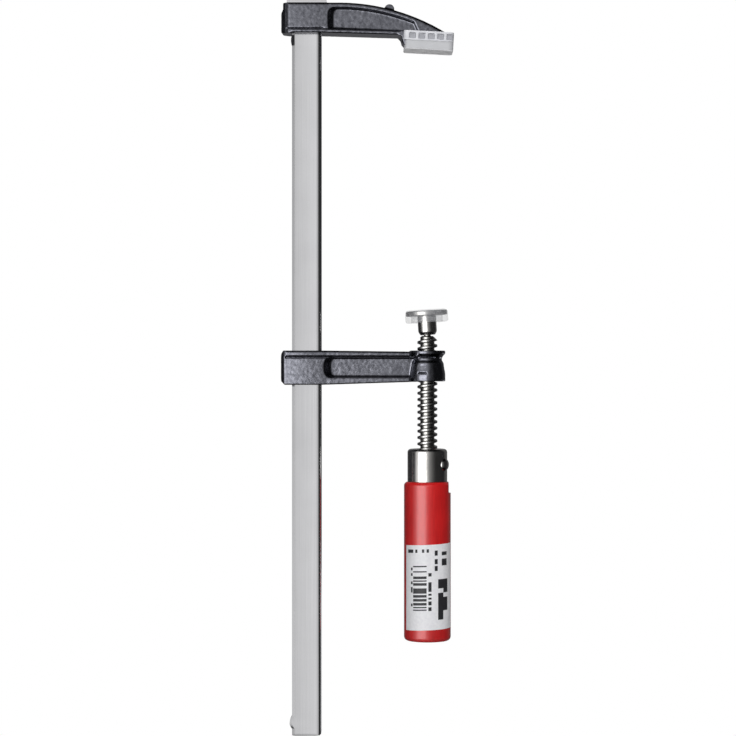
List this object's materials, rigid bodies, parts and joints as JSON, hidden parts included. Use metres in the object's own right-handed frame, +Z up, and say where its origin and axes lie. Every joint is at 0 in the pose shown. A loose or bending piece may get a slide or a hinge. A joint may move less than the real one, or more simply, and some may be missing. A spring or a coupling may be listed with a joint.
{
  "type": "screw clamp",
  "caption": "Bar clamp with a fixed cast arm, a sliding cast arm on a drawn steel bar, a trapezoidal screw, a swivelling pressure pad and a red wooden handle.",
  "frame": {"origin": "centre of the fixed jaw's clamping face, on the screw's axis and in the clamp's middle plane", "axes": "+Z up along the bar towards the fixed arm, +X from the bar towards the jaws, Y across the clamp's thickness, with the pictured side facing -Y"},
  "size_m": [0.0816, 0.0222, 0.3469],
  "materials": {
    "bar_steel": "cold-drawn flat bar, zinc plated, satin",
    "cast_paint": "malleable casting under dark blue-grey paint, sand-cast texture",
    "clear_plastic": "milky clear soft moulding",
    "screw_steel": "rolled thread, burnished and oiled",
    "spring_steel": "plain spring steel",
    "plated_steel": "nickel plated, bright",
    "lacquered_wood": "turned beech under red lacquer",
    "label_paper": "coated white paper"
  },
  "bodies": {
    "frame": {"guide_bar": "bar_steel", "fixed_arm": "cast_paint", "jaw_cap": "clear_plastic"},
    "slider": {"sliding_arm": "cast_paint"},
    "swivel_ring": {"retaining_ring": "spring_steel"},
    "screw": {"spindle": "screw_steel", "ferrule": "plated_steel", "cross_pin": "plated_steel", "handle": "lacquered_wood", "label": "label_paper"},
    "pad": {"pressure_pad": "plated_steel", "pad_cap": "clear_plastic"}
  },
  "joints": [
    {"name": "arm_slide", "type": "slide", "parent": "frame", "child": "slider", "axis": [0, 0, 1], "range_m": [-0.1553, 0.088]},
    {"name": "screw_travel", "type": "slide", "parent": "slider", "child": "swivel_ring", "axis": [0, 0, 1], "range_m": [-0.0065, 0.031]},
    {"name": "spindle_turn", "type": "hinge", "parent": "swivel_ring", "child": "screw", "pos_m": [0, 0, -0.1305], "axis": [0, 0, 1], "range_deg": [-781, 3721]},
    {"name": "pad_tilt", "type": "hinge", "parent": "swivel_ring", "child": "pad", "pos_m": [0, 0, -0.1305], "axis": [0, 1, 0], "range_deg": [-4.5, 11.5]}
  ],
  "couplings": [
    {"joint": "spindle_turn", "follows": "screw_travel", "rad_per_m": 2094.4}
  ]
}
